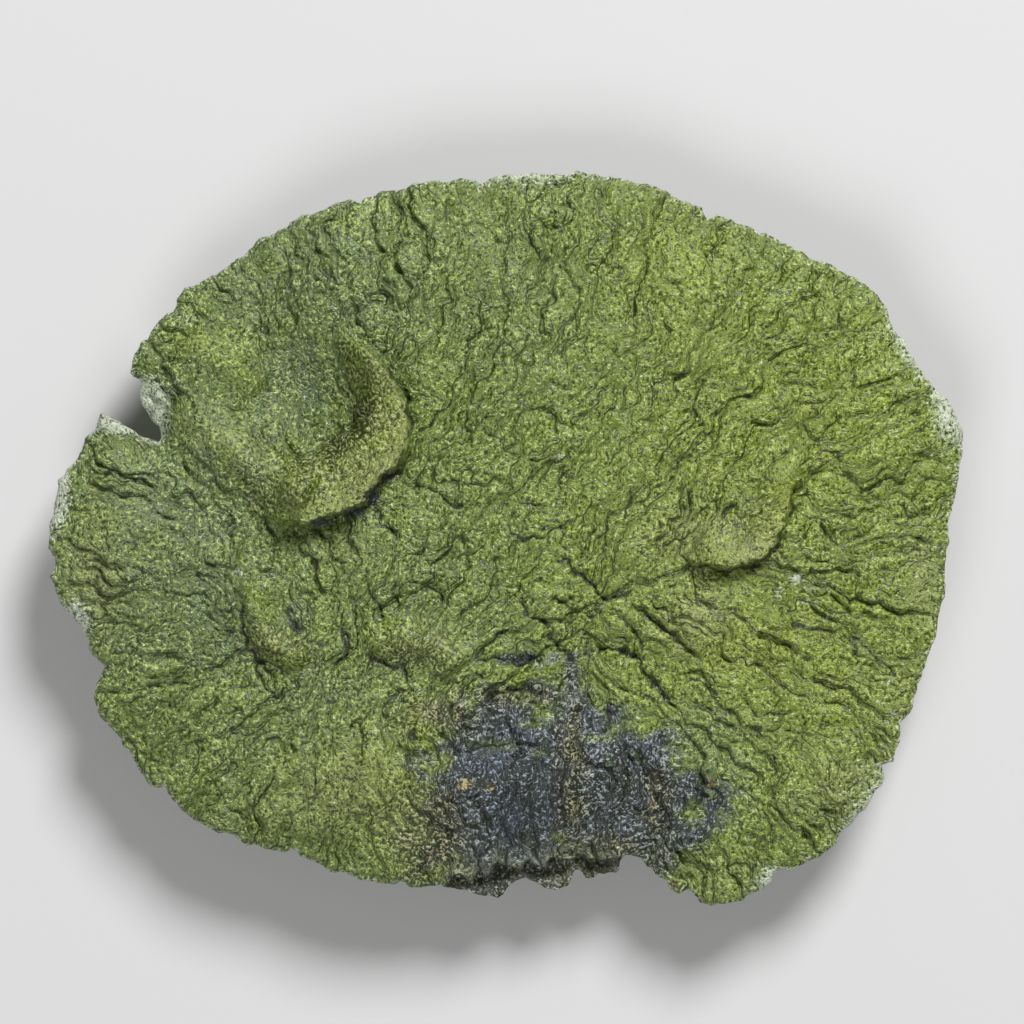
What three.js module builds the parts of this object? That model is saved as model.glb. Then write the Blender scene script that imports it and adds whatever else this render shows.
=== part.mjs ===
// A moldavite: one thin, disc-shaped piece of natural glass, lying on its back.
// Millimetres. +X is to the right and +Y is up across the sculpted face, +Z is out of it.
import * as THREE from 'three';
import { mergeVertices } from 'three/addons/utils/BufferGeometryUtils.js';

// Mesh fineness
const SPOKES = 200;
const BACK_RINGS = [0, 0.17, 0.32, 0.45, 0.57, 0.68, 0.78, 0.87, 0.94];
const FACE_RINGS = [0.95, 0.89, 0.83, 0.77, 0.71, 0.64, 0.57, 0.49, 0.4, 0.3, 0.2, 0.1, 0];

// Heights
const RIM_HEIGHT = 4.2;
const RIM_THICKNESS = 0.8;
const RIM_WAVE = 0.35;
const RIM_WAVE_LENGTH = 29;
const CROWN = 1;
const CROWN_LEFT = { at: [-9, 1], size: [13, 15], height: 0.8 };
const CROWN_ROUND = 2.2;
const BELLY = 1.7;
const BELLY_ROUND = 3.5;
const LEAST_THICKNESS = 0.5;

// The spokes start here: every point of the outline can be seen from it
const HUB = new THREE.Vector2(-0.3, -7);

// The outline, counter-clockwise from the right-hand tip
const OUTLINE = [
  // upper right rim
  [22.85, 4.43], [22.53, 6.02], [21.43, 7.53], [20.77, 8.34], [20.07, 9.4], [19.3, 10.54],
  [19.04, 11.53], [18.09, 12.55], [16.81, 13.28], [15.49, 13.87], [14.46, 14.46], [13.43, 15.04],
  [12.16, 15.62], [10.95, 16.01], [9.96, 15.99], [9.34, 16.69], [8.02, 17.31], [6.59, 17.82],
  // top rim
  [4.98, 18.06], [3.58, 18.4], [1.95, 18.22], [0.49, 18.12], [-1.09, 17.7], [-2.3, 17.97],
  [-3.4, 17.9], [-4.57, 17.8], [-5.45, 17.36], [-6.66, 17.09], [-7.8, 16.94], [-8.96, 16.47],
  [-10.35, 16.04], [-11.53, 15.26], [-12.62, 14.64], [-13.65, 13.84], [-14.9, 13.04],
  [-16, 12.53], [-16.59, 11.37], [-17.72, 10.35], [-18.6, 8.99], [-18.77, 8.33], [-18.16, 7.7],
  // the notch and the pointed tip beside it
  [-18.24, 6.81], [-17.43, 5.68], [-17.34, 4.83], [-18.97, 5.6], [-20.26, 6.31],
  // left rim
  [-20.53, 5.49], [-21.17, 4.46], [-22.31, 2.96], [-22.85, 0.5], [-22.53, -1.04],
  [-22.72, -1.92], [-22.27, -3.31], [-21.24, -4.34], [-20.73, -5.84], [-20.03, -6.45],
  [-20.6, -8.12], [-19.74, -9.51], [-19.08, -10.42], [-17.88, -12.33], [-16.95, -12.33],
  // lower left rim
  [-16.02, -13.72], [-14.67, -14.57], [-13.2, -15.08], [-12.06, -15.52], [-10.67, -15.48],
  [-9.64, -16.07], [-7.77, -16.74], [-5.97, -17.26], [-3.3, -17.34],
  // the ledge under the dark hump
  [-1.5, -17.78], [-0.44, -17.97], [0.24, -17.23], [0.97, -16.9], [1.89, -17.48],
  [3.14, -17.34], [3.54, -16.47], [4.38, -17], [5.52, -16.71], [5.93, -15.85], [6.84, -16.01],
  // lower right lobe
  [7.54, -16.93], [8.64, -17.76], [9.52, -17.91], [10.22, -18.4], [11.76, -18.13],
  [13.19, -17.19], [13.96, -16.53], [15.21, -16.03], [16.42, -15.28], [17.51, -13.82],
  [18.37, -12.68], [18.92, -12.06], [19.36, -11.14], [19.77, -9.6], [20.39, -8.36],
  // right rim
  [20.86, -6.82], [21.49, -4.69], [21.97, -2.17], [22.15, 0.98], [22.52, 2.38],
];

const CLOSED_OUTLINE = [...OUTLINE, OUTLINE[0]];

// Rounded swells and hollows of the face: centre, half-widths, height
const SWELLS = [
  { at: [2.6, -11.6], size: [5.6, 4.4], height: 1.5 }, // dark hump at the bottom
  { at: [-10.8, 6.9], size: [3, 3], height: -1.3 }, // bowl inside the fold
  { at: [-7.3, -11.9], size: [4.5, 2.2], height: 0.7 }, // bulge that the flutes fan out from
  { at: [9.2, -4.3], size: [1.6, 1.4], height: 0.4 }, // raised lobe
  { at: [10.9, 1.3], size: [1.1, 1.3], height: -0.5 }, // pit behind the right lip
  { at: [-19.5, 1.5], size: [1.6, 3], height: 0.4 }, // swell beside the left rim
];

// Round-backed ridges of the face: the line they follow, half-width, height
const RIDGES = [
  { path: [[-17, 6.4], [-14.3, 4.9], [-11.8, 3.2], [-9.3, 1.9]], width: 1.4, height: 0.9 },
  { path: [[-16, 10.2], [-14, 8.9], [-12.3, 7.2]], width: 1.2, height: 0.5 },
  { path: [[-12.55, -2.1], [-12.55, -3.6], [-11.8, -5.1], [-9.7, -5.8]], width: 0.7, height: 0.6 },
  { path: [[-7.05, -5.1], [-5.3, -4.7], [-3.55, -5.3], [-2.05, -6.5]], width: 0.7, height: 0.5 },
  { path: [[3, -7.6], [3, -15.4]], width: 0.6, height: 0.3 },
];

// Lips: folds with a sharp outer edge. Walking along the path, the raised side is on the right
const LIPS = [
  {
    path: [[-8.6, 9.7], [-6.8, 9.3], [-5.3, 7.2], [-4.87, 5.64], [-5.46, 3.68], [-7.05, 1.88],
      [-8.52, 1.29], [-9.71, 0.8], [-11.5, 1], [-12.8, 1.7]],
    width: 2.1,
    height: 1.6,
  },
  {
    path: [[15.2, 3], [14.15, 2.5], [13.9, 1.13], [12.7, -0.95], [11.25, -1.38], [8.45, -1.08]],
    width: 1.5,
    height: 0.7,
  },
];
const LIP_EDGE = 0.6;

// Swells and hollows of the back: a swell reaches down towards the table
const BACK_SWELLS = [
  { at: [-0.5, -3.5], size: [13, 11], height: 2.6 }, // the belly that the stone rests on
  { at: [2.5, -11], size: [6, 4.5], height: 1.2 }, // under the dark hump
  { at: [-13.5, 6], size: [4.5, 3.5], height: 0.5 }, // under the fold
  { at: [13, 8], size: [4, 3], height: -0.4 }, // hollows
  { at: [12, -9.5], size: [3, 3.5], height: -0.4 },
  { at: [-15, -5], size: [3.5, 2.5], height: -0.4 },
  { at: [-2, 12], size: [5, 2.5], height: -0.3 },
];

// The lower end of the face stops in a fringe, and a ledge further down reaches the outline
const LEDGE = { left: -3, right: 5.9, fringe: -16.3, depth: 2.2, edge: 0.5 };

/** 1 at the middle of a swell, falling to 0 at about twice its half-width. */
function hump(dx, dy) {
  return Math.exp(-(dx * dx + dy * dy));
}

/** The shortest way from a point to a path, and the side of the path that the point is on. */
function nearestOnPath(x, y, path) {
  const nearest = { distance: Infinity, side: 1 };
  for (let i = 1; i < path.length; i += 1) {
    const [ax, ay] = path[i - 1];
    const [bx, by] = path[i];
    const alongX = bx - ax;
    const alongY = by - ay;
    const reach = ((x - ax) * alongX + (y - ay) * alongY) / (alongX ** 2 + alongY ** 2);
    const t = THREE.MathUtils.clamp(reach, 0, 1);
    const distance = Math.hypot(x - ax - alongX * t, y - ay - alongY * t);
    if (distance < nearest.distance) {
      nearest.distance = distance;
      nearest.side = Math.sign(alongY * (x - ax) - alongX * (y - ay)) || 1;
    }
  }
  return nearest;
}

/** How far a lip stands up: steep outside its edge, a long slope inside it. */
function lipHeight(x, y, { path, width, height }) {
  const { distance, side } = nearestOnPath(x, y, path);
  const slope = side > 0 ? distance / width : distance / LIP_EDGE;
  return height * hump(slope, 0);
}

/** The swells and hollows of one side of the stone, added up at one point. */
function swellHeight(x, y, swells) {
  let z = 0;
  for (const { at, size, height } of swells) {
    z += height * hump((x - at[0]) / size[0], (y - at[1]) / size[1]);
  }
  return z;
}

/** The carved relief of the face, added to its plain crown. */
function relief(x, y) {
  let z = swellHeight(x, y, SWELLS);
  for (const { path, width, height } of RIDGES) {
    z += height * hump(nearestOnPath(x, y, path).distance / width, 0);
  }
  for (const lip of LIPS) {
    z += lipHeight(x, y, lip);
  }
  return z;
}

/** How much lower the ledge lies than the face that ends above it. */
function ledgeDrop(x, y) {
  const below = THREE.MathUtils.smoothstep(LEDGE.fringe - y, 0, LEDGE.edge);
  const fromLeft = THREE.MathUtils.smoothstep(x - LEDGE.left, 0, LEDGE.edge);
  const fromRight = THREE.MathUtils.smoothstep(LEDGE.right - x, 0, LEDGE.edge);
  return LEDGE.depth * below * fromLeft * fromRight;
}

/** The middle of the rim's edge, which rises and falls a little on its way round. */
function rimHeight(x, y) {
  const turn = (2 * Math.PI) / RIM_WAVE_LENGTH;
  return RIM_HEIGHT + RIM_WAVE * Math.sin(x * turn) * Math.cos(y * turn);
}

/** 0 on the outline, rising to 1 well inside it. */
function inward(x, y, round) {
  return 1 - Math.exp(-nearestOnPath(x, y, CLOSED_OUTLINE).distance / round);
}

/** Height of the back: a shallow belly, flat where it rests on the table. */
function backHeight(x, y) {
  const belly = (BELLY + swellHeight(x, y, BACK_SWELLS)) * inward(x, y, BELLY_ROUND);
  const plain = rimHeight(x, y) - RIM_THICKNESS / 2 - belly;
  return Math.max(0, plain);
}

/** Height of the face: a low crown that carries the relief. */
function faceHeight(x, y) {
  const inside = inward(x, y, CROWN_ROUND);
  const crown = (CROWN + swellHeight(x, y, [CROWN_LEFT]) + relief(x, y)) * inside;
  const plain = rimHeight(x, y) + RIM_THICKNESS / 2 + crown - ledgeDrop(x, y);
  return Math.max(plain, backHeight(x, y) + LEAST_THICKNESS);
}

/** The stone: a lathed lens whose points are moved onto the outline and the two faces. */
function stoneGeometry() {
  const outline = new THREE.Shape(OUTLINE.map(([x, y]) => new THREE.Vector2(x, y)));
  outline.closePath();
  const rim = outline.getSpacedPoints(SPOKES);

  const rings = [
    ...BACK_RINGS.map((share) => ({ share, height: backHeight })),
    { share: 1, height: rimHeight },
    ...FACE_RINGS.map((share) => ({ share, height: faceHeight })),
  ];
  const profile = rings.map(({ share }, i) => new THREE.Vector2(share, i));
  const geometry = new THREE.LatheGeometry(profile, SPOKES);

  const places = geometry.getAttribute('position');
  for (let spoke = 0; spoke <= SPOKES; spoke += 1) {
    const end = rim[spoke % SPOKES];
    rings.forEach(({ share, height }, ring) => {
      const at = HUB.clone().lerp(end, share);
      places.setXYZ(spoke * rings.length + ring, at.x, at.y, height(at.x, at.y));
    });
  }

  geometry.deleteAttribute('normal');
  geometry.deleteAttribute('uv');
  const stone = mergeVertices(geometry);
  stone.computeBoundingBox();
  const middle = stone.boundingBox.getCenter(new THREE.Vector3());
  stone.translate(-middle.x, -middle.y, 0);
  stone.computeVertexNormals();
  return stone;
}

const glass = new THREE.MeshStandardMaterial({ color: 0x6f8340, roughness: 0.35, metalness: 0 });
const moldavite = new THREE.Mesh(stoneGeometry(), glass);
moldavite.name = 'moldavite';

const part = new THREE.Group();
part.add(moldavite);

export default part;
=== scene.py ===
import math

import bpy
import numpy as np
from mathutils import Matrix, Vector


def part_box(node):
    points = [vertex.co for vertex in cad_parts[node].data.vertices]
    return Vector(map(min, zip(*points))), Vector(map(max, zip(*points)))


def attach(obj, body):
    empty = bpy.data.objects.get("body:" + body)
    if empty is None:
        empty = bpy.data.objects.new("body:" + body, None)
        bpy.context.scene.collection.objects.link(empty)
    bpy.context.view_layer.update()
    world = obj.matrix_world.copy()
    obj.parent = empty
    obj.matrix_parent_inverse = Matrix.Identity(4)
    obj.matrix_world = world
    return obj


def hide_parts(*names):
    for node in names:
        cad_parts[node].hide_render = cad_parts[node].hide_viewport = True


# A moldavite: a thin disc of natural green glass, lying on its back and seen from above

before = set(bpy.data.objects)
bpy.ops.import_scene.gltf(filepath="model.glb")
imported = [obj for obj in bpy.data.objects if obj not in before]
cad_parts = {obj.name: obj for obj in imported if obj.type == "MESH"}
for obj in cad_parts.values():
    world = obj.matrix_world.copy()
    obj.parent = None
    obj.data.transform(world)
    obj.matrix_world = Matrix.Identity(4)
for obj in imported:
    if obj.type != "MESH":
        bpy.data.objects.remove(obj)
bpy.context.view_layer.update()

MM = 0.001

# The outline of the stone in millimetres, counter-clockwise from the right-hand tip
OUTLINE = [
    # upper right rim
    (22.85, 4.43), (22.8, 5.46), (22.53, 6.02), (22.16, 6.87), (21.43, 7.53), (21.06, 8.0),
    (20.77, 8.34), (20.33, 8.99), (20.07, 9.4), (19.85, 9.95), (19.56, 10.17), (19.3, 10.54),
    (19.15, 10.94), (19.04, 11.53), (18.57, 12.19), (18.09, 12.55), (17.69, 12.85),
    (17.43, 13.03), (16.81, 13.28), (16.22, 13.72), (15.49, 13.87), (15.05, 13.98),
    (14.9, 14.28), (14.46, 14.46), (14.21, 14.68), (13.8, 14.75), (13.43, 15.04),
    (12.96, 15.28), (12.64, 15.26), (12.16, 15.62), (11.57, 15.73), (11.17, 16.02),
    (10.95, 16.01), (10.59, 16.23), (10.18, 15.99), (9.96, 15.99), (9.85, 16.57),
    (9.34, 16.69), (8.57, 16.98), (8.02, 17.31), (7.4, 17.64), (6.59, 17.82), (5.78, 18.02),
    # top rim
    (4.98, 18.06), (4.28, 18.22), (3.58, 18.4), (3.32, 18.22), (2.58, 18.21), (1.95, 18.22),
    (1.0, 18.31), (0.49, 18.12), (-0.1, 18.14), (-0.76, 18.04), (-1.09, 17.7), (-1.23, 17.71),
    (-1.64, 17.97), (-2.3, 17.97), (-3.03, 17.82), (-3.4, 17.9), (-4.13, 17.77),
    (-4.57, 17.8), (-5.01, 17.46), (-5.45, 17.36), (-6.26, 17.36), (-6.66, 17.09),
    (-7.4, 16.78), (-7.8, 16.94), (-8.3, 16.78), (-8.96, 16.47), (-9.69, 16.19),
    (-10.35, 16.04), (-10.87, 15.7), (-11.53, 15.26), (-12.15, 15.04), (-12.62, 14.64),
    (-13.06, 14.12), (-13.65, 13.84), (-14.31, 13.28), (-14.9, 13.04), (-15.7, 12.62),
    (-16.0, 12.53), (-16.37, 12.0), (-16.59, 11.37), (-17.35, 11.01), (-17.72, 10.35),
    (-17.98, 9.98), (-18.31, 9.76), (-18.6, 8.99), (-18.77, 8.33), (-18.49, 8.04),
    # the notch and the pointed tip beside it
    (-18.16, 7.7), (-18.24, 7.21), (-18.24, 6.81), (-18.0, 6.41), (-17.43, 5.68),
    (-17.15, 5.09), (-17.34, 4.83), (-18.24, 5.12), (-18.97, 5.6), (-19.7, 6.04),
    (-20.26, 6.31),
    # left rim
    (-20.48, 5.71), (-20.53, 5.49), (-21.02, 5.09), (-21.17, 4.46), (-21.58, 3.77),
    (-22.09, 3.18), (-22.31, 2.96), (-22.45, 2.19), (-22.6, 1.35), (-22.85, 0.5),
    (-22.75, 0.13), (-22.84, -0.38), (-22.53, -1.04), (-22.47, -1.33), (-22.72, -1.92),
    (-22.45, -2.65), (-22.27, -3.31), (-21.61, -3.9), (-21.24, -4.34), (-20.96, -4.85),
    (-20.8, -5.51), (-20.73, -5.84), (-20.25, -6.21), (-20.03, -6.45), (-20.22, -6.91),
    (-20.47, -7.13), (-20.55, -7.86), (-20.6, -8.12), (-20.36, -8.85), (-19.74, -9.51),
    (-19.23, -10.02), (-19.08, -10.42), (-18.64, -10.97), (-18.24, -11.71),
    (-17.88, -12.33), (-17.38, -12.46), (-16.95, -12.33),
    # lower left rim
    (-16.92, -12.7), (-16.5, -13.24), (-16.02, -13.72), (-15.4, -14.17), (-14.67, -14.57),
    (-14.34, -14.74), (-13.68, -14.79), (-13.2, -15.08), (-13.02, -15.34), (-12.54, -15.25),
    (-12.06, -15.52), (-11.0, -15.63), (-10.67, -15.48), (-10.34, -15.86), (-9.64, -16.07),
    (-8.79, -16.6), (-7.77, -16.74), (-7.37, -17.08), (-6.41, -17.12), (-5.97, -17.26),
    (-5.24, -17.2), (-4.65, -17.42), (-3.3, -17.34),
    # the ledge under the dark hump
    (-2.53, -17.41), (-1.5, -17.78), (-0.44, -17.97), (0.09, -17.48), (0.24, -17.23),
    (0.97, -16.9), (1.52, -17.25), (1.89, -17.48), (2.48, -17.57), (3.14, -17.34),
    (3.39, -16.68), (3.54, -16.47), (4.02, -17.0), (4.38, -17.0), (4.68, -16.76),
    (5.52, -16.71), (5.74, -16.16), (5.93, -15.85), (6.55, -15.87), (6.84, -16.01),
    # lower right lobe
    (7.02, -16.51), (7.28, -16.42), (7.54, -16.93), (7.94, -17.0), (8.34, -17.66),
    (8.64, -17.76), (9.04, -17.52), (9.52, -17.91), (9.78, -18.25), (10.22, -18.4),
    (10.81, -18.33), (11.76, -18.13), (12.16, -17.74), (12.71, -17.63), (13.19, -17.19),
    (13.39, -16.6), (13.96, -16.53), (14.58, -16.49), (15.21, -16.03), (15.79, -15.87),
    (16.42, -15.28), (16.6, -14.83), (17.18, -14.33), (17.51, -13.82), (18.0, -13.49),
    (18.19, -13.16), (18.37, -12.68), (18.92, -12.06), (18.74, -11.36), (19.36, -11.14),
    (19.51, -10.41), (19.77, -9.6), (19.57, -9.25), (20.1, -8.8), (20.39, -8.36),
    (20.28, -8.13), (20.53, -7.66), (20.61, -7.18),
    # right rim
    (20.86, -6.82), (20.94, -6.23), (21.23, -5.5), (21.49, -4.69), (21.69, -3.66),
    (21.9, -2.94), (21.97, -2.17), (21.93, -1.51), (22.15, -0.04), (22.15, 0.98),
    (22.34, 1.35), (22.52, 2.38), (22.67, 3.55),
]

# Heights in millimetres
RIM_HEIGHT = 4.2
RIM_THICKNESS = 0.8
RIM_WALL = 0.4
RIM_ROUND = 0.5
RIM_WAVE = 0.35
RIM_WAVE_LENGTH = 29
CROWN = 1.0
CROWN_ROUND = 2.2
BELLY = 1.7
BELLY_ROUND = 3.5
LEAST_THICKNESS = 0.5

# The blank that the stone is carved from, and the shares of its thickness up to which it
# becomes the stone's back and from which it becomes the face
BLANK_THICKNESS = 0.5
LOWER_EDGE = 0.1
UPPER_EDGE = 0.9
FINEST = 0.1
MOST_TRIANGLES = 190_000

# Rounded swells and hollows: centre, half-widths, height
FACE_SWELLS = [
    ((-9, 1), (13, 15), 0.8),
    ((2.6, -11.6), (5.6, 4.4), 1.5),  # dark hump at the bottom
    ((-10.6, 6.7), (2.7, 2.6), -1.5),  # bowl inside the fold
    ((-11.0, 9.9), (2.0, 2.6), -0.7),  # its open upper end
    ((-7.3, -11.9), (4.5, 2.2), 0.7),  # bulge that the flutes fan out from
    ((9.2, -4.3), (1.6, 1.4), 0.4),  # raised lobe
    ((-19.5, 1.5), (1.6, 3.0), 0.4),  # swell beside the left rim
    ((-14.5, 0.5), (2.2, 1.6), -0.5),  # hollow under the notch ridge
    ((-14.0, -6.5), (2.6, 1.6), -0.4),
]
BACK_SWELLS = [
    ((-0.5, -3.5), (13, 11), 2.6),  # the belly that the stone rests on
    ((2.5, -11), (6, 4.5), 1.2),  # under the dark hump
    ((-13.5, 6), (4.5, 3.5), 0.5),  # under the fold
    ((13, 8), (4, 3), -0.4),
    ((12, -9.5), (3, 3.5), -0.4),
    ((-15, -5), (3.5, 2.5), -0.4),
    ((-2, 12), (5, 2.5), -0.3),
]

# Round-backed ridges: the line they follow, half-width, height
RIDGES = [
    ([(-17, 6.4), (-14.3, 4.9), (-11.8, 3.2), (-9.3, 2.1)], 1.4, 1.25),
    ([(-16, 10.2), (-14, 8.9), (-12.3, 7.2)], 1.1, 0.6),
    ([(-12.55, -2.1), (-12.55, -3.6), (-11.8, -5.1), (-10.8, -5.8), (-9.7, -5.8)], 0.7, 0.7),
    ([(-7.05, -5.1), (-5.3, -4.7), (-3.55, -5.3), (-2.05, -6.5)], 0.8, 0.7),
    ([(-4.05, -7.6), (-4.4, -9.6), (-4.7, -10.6)], 0.7, 0.5),
    ([(3, -7.6), (2.9, -11), (3.1, -15.4)], 0.5, 0.3),
]

# Lips: folds with a sharp outer edge: the line, the width of the crest, the width of the slope
# behind it, the height, and how far the painted glow on the edge reaches. The raised side is on the
# right of the way
LIPS = [
    (
        [(-8.6, 9.9), (-7.6, 9.7), (-6.8, 9.3), (-6.05, 8.4), (-5.3, 7.2), (-4.96, 6.63),
         (-4.87, 5.64), (-5.01, 4.46), (-5.46, 3.68), (-6.15, 3.18), (-6.75, 2.48),
         (-7.05, 1.88), (-7.83, 1.44), (-8.52, 1.29), (-9.71, 0.8), (-11.5, 1.0),
         (-12.8, 1.7)],
        1.65, 1.8, 1.4, 0.7,
    ),
    (
        [(15.25, 2.9), (14.15, 2.58), (14.15, 1.84), (13.9, 1.13), (13.6, 0.38),
         (13.3, -0.33), (12.7, -0.95), (11.97, -1.2), (11.25, -1.38), (10.15, -1.32),
         (8.45, -1.08)],
        0.4, 2.4, 0.8, 1.2,
    ),
]

# Cracks and gaps: the line they follow, half-width, depth
CRACKS = [
    # the gap under the edge of the fold
    ([(-6.3, 9.0), (-5.3, 7.75), (-4.8, 6.7), (-4.7, 5.6), (-4.85, 4.4)], 0.1, 0.3),
    ([(-4.85, 4.4), (-5.3, 3.5), (-6.05, 2.95), (-6.6, 2.3), (-6.95, 1.65), (-7.8, 1.2),
      (-8.6, 1.0), (-9.5, 0.6)], 0.11, 0.4),
    # the gap under the right lip
    ([(15.4, 3.0), (14.35, 2.6), (14.3, 1.7), (13.95, 0.75), (13.5, -0.35), (12.8, -1.1),
      (11.9, -1.4), (11.1, -1.55), (10.1, -1.5), (8.4, -1.15)], 0.1, 0.3),
    ([(10.75, 0.95), (10.95, 1.4), (11.4, 1.9)], 0.2, 0.4),
    # centre
    ([(-4.8, 2.9), (-4.2, 2.7), (-3.1, 2.1), (-2.3, 1.5), (-1.85, 1.1)], 0.13, 0.3),
    ([(-6.7, 1.6), (-6.05, 0.6), (-5.4, 0.1), (-5.2, -0.2)], 0.13, 0.3),
    ([(-1.9, 1.5), (-1.1, 1.8), (-0.7, 1.6)], 0.08, 0.15),
    ([(0.1, 0.3), (0.7, 0.05), (1.5, 0.1)], 0.08, 0.15),
    ([(0.6, 0.55), (1.4, 0.5), (2.5, 0.45)], 0.07, 0.12),
    ([(2.5, 1.0), (2.9, 0.4), (2.8, -0.4), (3.4, -0.6)], 0.08, 0.15),
    ([(1.8, -1.45), (2.5, -1.2), (3.05, -1.0), (3.54, -1.68), (4.33, -2.47), (5.02, -2.96),
      (6.1, -2.7), (6.8, -2.2)], 0.13, 0.3),
    ([(-0.7, -2.4), (0.0, -2.35), (0.8, -2.4)], 0.08, 0.15),
    ([(-4.3, -2.5), (-3.8, -2.4), (-3.2, -2.8), (-3.1, -3.5)], 0.11, 0.25),
    ([(-7.0, -2.0), (-6.7, -2.8), (-6.3, -3.2), (-6.1, -4.3)], 0.12, 0.25),
    ([(-5.6, -2.0), (-5.4, -3.0), (-5.2, -4.0)], 0.12, 0.25),
    ([(-8.0, -1.0), (-8.1, -1.9)], 0.12, 0.2),
    ([(0.7, -2.6), (0.75, -3.3), (1.15, -3.9), (1.9, -4.2), (2.4, -3.9)], 0.12, 0.25),
    ([(1.95, -4.3), (2.15, -4.9), (2.75, -5.5), (3.3, -6.3)], 0.13, 0.3),
    ([(0.5, -4.3), (-0.6, -5.0), (-1.4, -5.7), (-1.8, -6.4)], 0.12, 0.25),
    ([(3.9, -5.3), (4.4, -5.75), (4.6, -5.6), (5.6, -5.5), (6.6, -5.9), (6.8, -6.6),
      (7.4, -7.3), (8.05, -8.0), (8.9, -8.9)], 0.15, 0.4),
    ([(4.1, -4.1), (4.6, -3.8)], 0.1, 0.2),
    ([(6.2, -3.2), (7.1, -4.0), (8.2, -4.6), (8.8, -5.3), (9.9, -6.2)], 0.13, 0.3),
    ([(6.2, -4.3), (6.7, -5.2), (7.1, -6.4)], 0.1, 0.2),
    ([(6.3, 2.9), (6.1, 1.7), (5.6, 0.5)], 0.09, 0.15),
    ([(8.9, 4.0), (8.4, 3.2), (8.1, 2.6)], 0.08, 0.15),
    # lower right
    ([(8.6, -7.25), (9.55, -7.0), (10.75, -7.9)], 0.1, 0.2),
    ([(11.85, -7.9), (12.45, -8.8), (13.2, -8.6), (14.4, -8.8)], 0.1, 0.2),
    ([(13.9, -4.2), (15.0, -4.5), (16.5, -4.7)], 0.16, 0.3),
    ([(17.0, -4.4), (17.8, -5.4), (19.0, -6.4), (20.0, -7.0)], 0.1, 0.2),
    ([(16.6, -4.6), (17.3, -5.3), (17.7, -6.2)], 0.09, 0.15),
    # over the hump
    ([(-3.0, -9.6), (-2.0, -9.0), (-0.6, -7.6), (1.2, -7.4), (2.7, -7.9)], 0.14, 0.3),
    ([(-1.9, -6.3), (-0.8, -5.9), (0.6, -6.1), (1.9, -5.6)], 0.15, 0.3),
    ([(-2.9, -10.9), (-1.2, -10.4), (0.4, -10.1), (2.0, -10.3), (2.8, -11.2)], 0.1, 0.2),
    ([(2.4, -9.9), (2.9, -11.5), (2.7, -13.4), (2.9, -15.0)], 0.13, 0.25),
    ([(5.0, -7.7), (5.2, -9.3), (4.2, -10.0)], 0.12, 0.2),
    ([(9.6, -11.2), (9.9, -12.8), (9.2, -14.0)], 0.1, 0.2),
    # lower left
    ([(-13.1, -2.6), (-13.0, -5.2), (-12.0, -6.4), (-11.2, -6.8)], 0.12, 0.2),
    ([(-10.9, -3.2), (-10.6, -4.3), (-9.8, -4.6)], 0.15, 0.25),
    ([(-8.2, -4.0), (-7.9, -5.4), (-8.6, -6.9)], 0.14, 0.25),
    ([(-7.1, -5.7), (-6.0, -6.2), (-5.0, -6.5), (-4.9, -7.2)], 0.18, 0.3),
    ([(-6.2, -9.0), (-5.9, -8.1), (-5.2, -7.5)], 0.12, 0.25),
    ([(-4.7, -9.0), (-4.6, -9.9), (-3.8, -10.1)], 0.14, 0.3),
]

# The lower end of the face stops in a fringe, and a ledge further down reaches the outline
LEDGE_LEFT = -3.2
LEDGE_RIGHT = 5.9
LEDGE_DEPTH = 1.4
FRINGE = [
    (-3.2, -17.35), (-2.4, -16.6), (-1.75, -17.0), (-1.35, -16.5), (-0.9, -16.8),
    (-0.45, -16.1), (0.3, -16.35), (0.85, -16.4), (1.0, -15.95), (1.6, -16.3), (2.0, -16.3),
    (2.25, -15.85), (3.2, -16.0), (3.85, -15.65), (4.2, -15.95), (5.9, -15.9),
]

# Patches of colour: centre, half-widths, strength
SUNNY = [
    ((15, 6), (10, 8), 0.6),
    ((13, -6), (9, 6), 0.7),
    ((8, 13), (5, 5), 0.6),
    ((5, -2), (6, 6), 0.4),
    ((-15.5, 10), (2.0, 1.2), 0.8),
    ((-7.3, -11.9), (5, 2.6), 1.0),
    ((-12.5, -12.5), (6, 3.5), 0.4),
    ((-19.5, 0.8), (2.2, 2.6), 0.7),
    ((0.0, -6.8), (2.5, 0.5), 0.7),
]
PALE = [
    ((20.8, -1.8), (0.9, 2.6), 0.5),
    ((-14.6, 5.0), (2.2, 0.8), 0.3),
    ((9.5, -4.0), (1.6, 1.5), 0.55),
    ((-8, -12.5), (4, 2), 0.45),
    ((10.8, -16.8), (1.8, 1.0), 0.3),
    ((-20.5, -2.0), (1.8, 3.5), 0.5),
    ((19.8, -8.5), (1.2, 2.5), 0.3),
    ((17.0, -12.5), (2.2, 2.2), 0.4),
    ((10, 0.0), (4, 2), 0.35),
    ((-7.5, -0.5), (2, 1), 0.25),
]
DIM = [
    # painted shade in the bowl inside the fold
    ((-12.1, 6.6), (2.2, 3.0), 0.3),
    ((-16.0, -0.3), (2.0, 2.0), 0.35),
    ((-8.0, -8.3), (2.0, 1.5), 0.3),
    ((-4.2, -16.0), (1.8, 1.6), 0.6),
    ((4.0, 15.7), (7.0, 1.6), 0.25),
    ((-10.0, 11.7), (4.0, 1.8), 0.25),
]
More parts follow.
